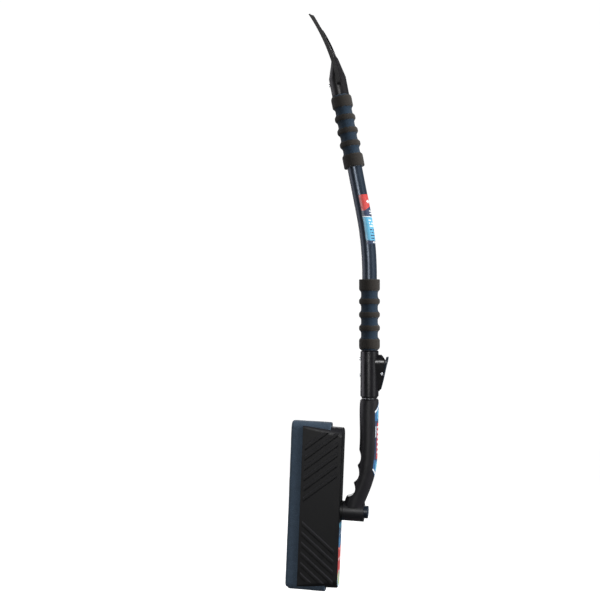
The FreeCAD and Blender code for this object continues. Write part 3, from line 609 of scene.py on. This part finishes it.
# In the real button the spring shortens against the hub's floor as the button goes in; here its mesh is
# only copied into a piece of its own on the head.
spring = bpy.data.objects.new("squeezed_spring", frame["nodes"]["button_spring"].data.copy())
bpy.context.scene.collection.objects.link(spring)
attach(spring, "head")
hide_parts("button_spring")
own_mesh(spring)


# Stage, lights and camera
FLOOR_RADIUS, CORNER_RADIUS, WALL_TOP = 3.2, 1.2, 6.0
HUB_RADIUS = 0.02  # of the flat face at the floor's middle
BACKDROP_SIDES, CORNER_STEPS = 96, 12
TRAVEL_BELOW = 0.26  # room for the telescope under the object
AIM = Vector((0, 0.0367, -0.503))
VIEW_DEG = -80.0
VIEW_DISTANCE = 2.06


def stage_material():
    """A pale ground that glows a little, so that it stays even behind a dark object."""
    material = bpy.data.materials.new("backdrop")
    material.use_nodes = True
    shader = material.node_tree.nodes["Principled BSDF"]
    shader.inputs["Base Color"].default_value = (0.3, 0.3, 0.3, 1)
    shader.inputs["Roughness"].default_value = 0.9
    shader.inputs["Emission Color"].default_value = (1, 1, 1, 1)
    shader.inputs["Emission Strength"].default_value = 0.93
    return material


def round_backdrop(floor_z):
    """A round floor that curves up into a wall all the way round."""
    profile = [(HUB_RADIUS, floor_z), (FLOOR_RADIUS * 0.5, floor_z), (FLOOR_RADIUS, floor_z)]
    for step in range(1, CORNER_STEPS + 1):
        angle = math.pi / 2 * step / CORNER_STEPS
        out, up = math.sin(angle), 1 - math.cos(angle)
        profile.append((FLOOR_RADIUS + CORNER_RADIUS * out, floor_z + CORNER_RADIUS * up))
    profile.append((FLOOR_RADIUS + CORNER_RADIUS, WALL_TOP))
    sides = BACKDROP_SIDES
    turns = [2 * math.pi * n / sides for n in range(sides)]
    verts = [(r * math.cos(turn), r * math.sin(turn), z) for r, z in profile for turn in turns]
    faces = []
    for ring in range(len(profile) - 1):
        low, high = ring * sides, (ring + 1) * sides
        for n in range(sides):
            beside = (n + 1) % sides
            faces.append((low + n, low + beside, high + beside, high + n))
    faces.append(tuple(reversed(range(sides))))
    mesh = bpy.data.meshes.new("backdrop")
    mesh.from_pydata(verts, [], faces)
    mesh.polygons.foreach_set("use_smooth", [True] * len(mesh.polygons))
    mesh.materials.append(stage_material())
    backdrop = bpy.data.objects.new("backdrop", mesh)
    bpy.context.scene.collection.objects.link(backdrop)
    backdrop.visible_diffuse = False
    backdrop.visible_glossy = False
    backdrop.visible_shadow = False


def around(azimuth, distance, height):
    """A place round the object, at an azimuth measured as the camera's is."""
    angle = math.radians(azimuth)
    return AIM + Vector((math.sin(angle) * distance, -math.cos(angle) * distance, height))


def aimed_from(place):
    return (AIM - place).to_track_quat("-Z", "Y").to_euler()


def area_light(name, place, size, power, colour=(1, 1, 1), diffuse=True, glossy=True):
    data = bpy.data.lights.new(name, "AREA")
    data.shape = "RECTANGLE"
    data.size, data.size_y = size
    data.energy = power
    data.color = colour
    light = bpy.data.objects.new(name, data)
    light.visible_diffuse = diffuse
    light.visible_glossy = glossy
    light.location = place
    light.rotation_euler = aimed_from(place)
    bpy.context.scene.collection.objects.link(light)


round_backdrop(cad_box[0].z - TRAVEL_BELOW)
area_light("key", around(-4, 2.0, 0.5), (1.3, 2.0), 70, glossy=False)
area_light("front_fill", around(-84, 2.6, 0.4), (2.0, 2.0), 6, glossy=False)
area_light("far_fill", around(105, 2.2, 0.6), (1.4, 2.0), 26)
area_light("back_fill", around(170, 2.4, 0.9), (2.0, 2.0), 9)
area_light("overhead", around(-95, 0.9, 2.3), (0.8, 0.8), 20, glossy=False)
area_light("right_sheen", around(-8, 2.2, 0.1), (1.3, 2.0), 9, diffuse=False)
area_light("left_sheen", around(-183, 2.4, 0.3), (2.0, 2.4), 24, (0.94, 0.90, 1.0), diffuse=False)
area_light("strip", around(-86, 2.5, 0.5), (0.9, 0.75), 60, diffuse=False)

world = bpy.data.worlds.new("studio")
world.use_nodes = True
background = world.node_tree.nodes["Background"].inputs
background["Color"].default_value = (0.95, 0.97, 1.0, 1)
background["Strength"].default_value = 0.16
bpy.context.scene.world = world
bpy.context.scene.view_settings.view_transform = "Standard"

camera = bpy.data.objects.new("camera", bpy.data.cameras.new("camera"))
camera.data.sensor_width = 36.0
camera.data.lens = 66.2
camera.location = around(VIEW_DEG, VIEW_DISTANCE, 0.0)
camera.rotation_euler = aimed_from(camera.location)
bpy.context.scene.collection.objects.link(camera)
bpy.context.scene.camera = camera
